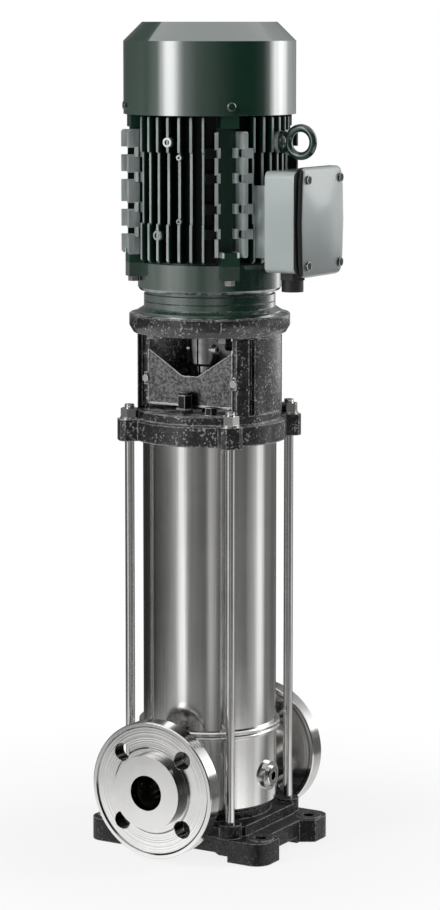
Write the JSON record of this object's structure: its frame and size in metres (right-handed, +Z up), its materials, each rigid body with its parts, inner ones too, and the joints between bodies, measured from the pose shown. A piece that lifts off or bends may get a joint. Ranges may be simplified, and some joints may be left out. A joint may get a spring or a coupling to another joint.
{
  "type": "vertical multistage pump",
  "caption": "Upright in-line centrifugal pump: flanged steel foot casing, slim stage sleeve with tie rods, open lantern and finned motor with terminal box on top.",
  "frame": {"origin": "centre of the four anchor holes, on the floor under the pump's axis", "axes": "+Z up along the shaft, -Y out of the inlet flange, +Y out of the outlet flange, +X towards the terminal box"},
  "size_m": [0.24, 0.25, 0.845],
  "materials": {
    "black_casting": "gloss",
    "green_paint": "gloss",
    "stainless_sheet": "satin",
    "bright_steel": "satin",
    "zinc_steel": "satin",
    "bearing_steel": "polished",
    "sheet_steel": "matt",
    "copper_wire": "satin",
    "bronze": "satin",
    "rubber": "matt",
    "carbon": "matt",
    "black_plastic": "matt"
  },
  "bodies": {
    "pump": {"base_plate": "black_casting", "lantern": "black_casting", "drive_end_shield": "green_paint", "motor_frame": "green_paint", "rear_end_shield": "green_paint", "fan_cover": "green_paint", "terminal_box": "green_paint", "box_lid": "green_paint", "port_casing": "stainless_sheet", "intake_chamber": "stainless_sheet", "suction_plate": "stainless_sheet", "stage_bowls": "stainless_sheet", "discharge_bowl": "stainless_sheet", "outer_sleeve": "stainless_sheet", "head_cover": "stainless_sheet", "front_guard": "stainless_sheet", "rear_guard": "stainless_sheet", "tie_rods": "bright_steel", "rod_washers": "bright_steel", "rod_nuts": "bright_steel", "drain_plug": "bright_steel", "gauge_plug": "zinc_steel", "guard_screws": "zinc_steel", "drive_end_screws": "zinc_steel", "motor_bolts": "zinc_steel", "fan_cover_screws": "zinc_steel", "lid_screws": "zinc_steel", "lifting_eye": "zinc_steel", "terminal_studs": "zinc_steel", "front_bearing_outer_race": "bearing_steel", "rear_bearing_outer_race": "bearing_steel", "stator_core": "sheet_steel", "winding_heads": "copper_wire", "bearing_bush": "bronze", "cover_oring": "rubber", "box_gasket": "rubber", "seal_seat_ring": "carbon", "cable_gland": "black_plastic", "blanking_plug": "black_plastic", "terminal_block": "black_plastic"},
    "rotor": {"pump_shaft": "bright_steel", "impellers": "stainless_sheet", "impeller_spacers": "bright_steel", "impeller_nut": "bright_steel", "seal_face_ring": "carbon", "seal_drive_collar": "bright_steel", "seal_spring": "bright_steel", "coupling_half_left": "zinc_steel", "coupling_half_right": "zinc_steel", "coupling_screws": "zinc_steel", "motor_shaft": "bright_steel", "rotor_core": "sheet_steel", "front_bearing_inner_race": "bearing_steel", "rear_bearing_inner_race": "bearing_steel", "fan": "black_plastic"},
    "inlet_flange": {"inlet_flange": "stainless_sheet"},
    "outlet_flange": {"outlet_flange": "stainless_sheet"},
    "vent_plug": {"vent_plug": "zinc_steel"},
    "front_balls": {"front_bearing_balls": "bearing_steel"},
    "rear_balls": {"rear_bearing_balls": "bearing_steel"}
  },
  "joints": [
    {"name": "rotor_spin", "type": "hinge", "parent": "pump", "child": "rotor", "pos_m": [0, 0, 0.5], "axis": [0, 0, 1], "continuous": true},
    {"name": "front_balls_orbit", "type": "hinge", "parent": "pump", "child": "front_balls", "pos_m": [0, 0, 0.59], "axis": [0, 0, 1], "continuous": true},
    {"name": "rear_balls_orbit", "type": "hinge", "parent": "pump", "child": "rear_balls", "pos_m": [0, 0, 0.745], "axis": [0, 0, 1], "continuous": true},
    {"name": "inlet_flange_turn", "type": "hinge", "parent": "pump", "child": "inlet_flange", "pos_m": [0, -0.106, 0.075], "axis": [0, -1, 0], "continuous": true},
    {"name": "outlet_flange_turn", "type": "hinge", "parent": "pump", "child": "outlet_flange", "pos_m": [0, 0.106, 0.075], "axis": [0, 1, 0], "continuous": true},
    {"name": "vent_plug_turn", "type": "hinge", "parent": "pump", "child": "vent_plug", "pos_m": [0, -0.049, 0.46], "axis": [0, 0, 1], "range_deg": [0, 360]}
  ],
  "couplings": [
    {"joint": "front_balls_orbit", "follows": "rotor_spin", "ratio": 0.4147},
    {"joint": "rear_balls_orbit", "follows": "rotor_spin", "ratio": 0.4147}
  ]
}
